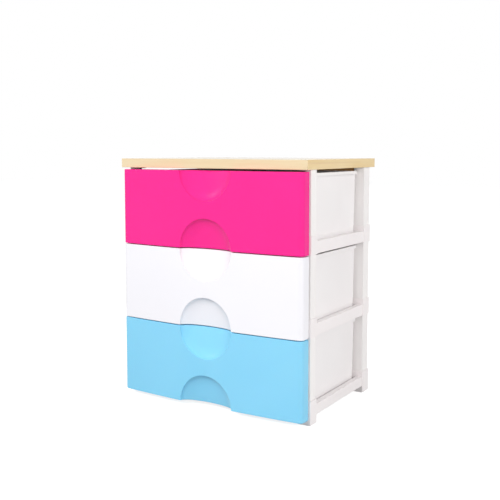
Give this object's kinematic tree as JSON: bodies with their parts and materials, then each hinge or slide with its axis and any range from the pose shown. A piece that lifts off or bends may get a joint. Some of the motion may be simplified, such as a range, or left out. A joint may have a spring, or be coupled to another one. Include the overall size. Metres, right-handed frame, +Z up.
{
  "type": "drawer chest",
  "caption": "Wide free-standing plastic drawer chest with a wood-look top board, an open post frame and bowed drawer fronts with shared round finger recesses",
  "frame": {"origin": "on the floor, below the middle of the whole object's box", "axes": "+Z up, +X to the right seen from the front, drawer fronts face -Y"},
  "size_m": [0.56, 0.408, 0.6365],
  "materials": {
    "board": "foil-faced particle board, satin",
    "edge_band": "wood-look edge band, satin",
    "batten": "raw sawn wood",
    "screw": "zinc plated",
    "frame": "moulded, satin",
    "post": "moulded, satin",
    "drawer_box": "moulded, satin",
    "front_pink": "moulded, semi-gloss",
    "front_white": "moulded, semi-gloss",
    "front_blue": "moulded, semi-gloss"
  },
  "bodies": {
    "frame": {"top_board": "board", "edge_band_front": "edge_band", "edge_band_rear": "edge_band", "edge_band_left": "edge_band", "edge_band_right": "edge_band", "rear_batten": "batten", "board_screws": "screw", "upper_ring": "frame", "lower_ring": "frame", "base_frame": "frame", "post_top_front_left": "post", "post_top_front_right": "post", "post_top_rear_left": "post", "post_top_rear_right": "post", "post_middle_front_left": "post", "post_middle_front_right": "post", "post_middle_rear_left": "post", "post_middle_rear_right": "post", "post_bottom_front_left": "post", "post_bottom_front_right": "post", "post_bottom_rear_left": "post", "post_bottom_rear_right": "post"},
    "top_drawer": {"drawer_box_top": "drawer_box", "drawer_front_top": "front_pink"},
    "middle_drawer": {"drawer_box_middle": "drawer_box", "drawer_front_middle": "front_white"},
    "bottom_drawer": {"drawer_box_bottom": "drawer_box", "drawer_front_bottom": "front_blue"}
  },
  "joints": [
    {"name": "top_drawer_slide", "type": "slide", "parent": "frame", "child": "top_drawer", "axis": [0, -1, 0], "range_m": [0, 0.23]},
    {"name": "middle_drawer_slide", "type": "slide", "parent": "frame", "child": "middle_drawer", "axis": [0, -1, 0], "range_m": [0, 0.23]},
    {"name": "bottom_drawer_slide", "type": "slide", "parent": "frame", "child": "bottom_drawer", "axis": [0, -1, 0], "range_m": [0, 0.23]}
  ]
}
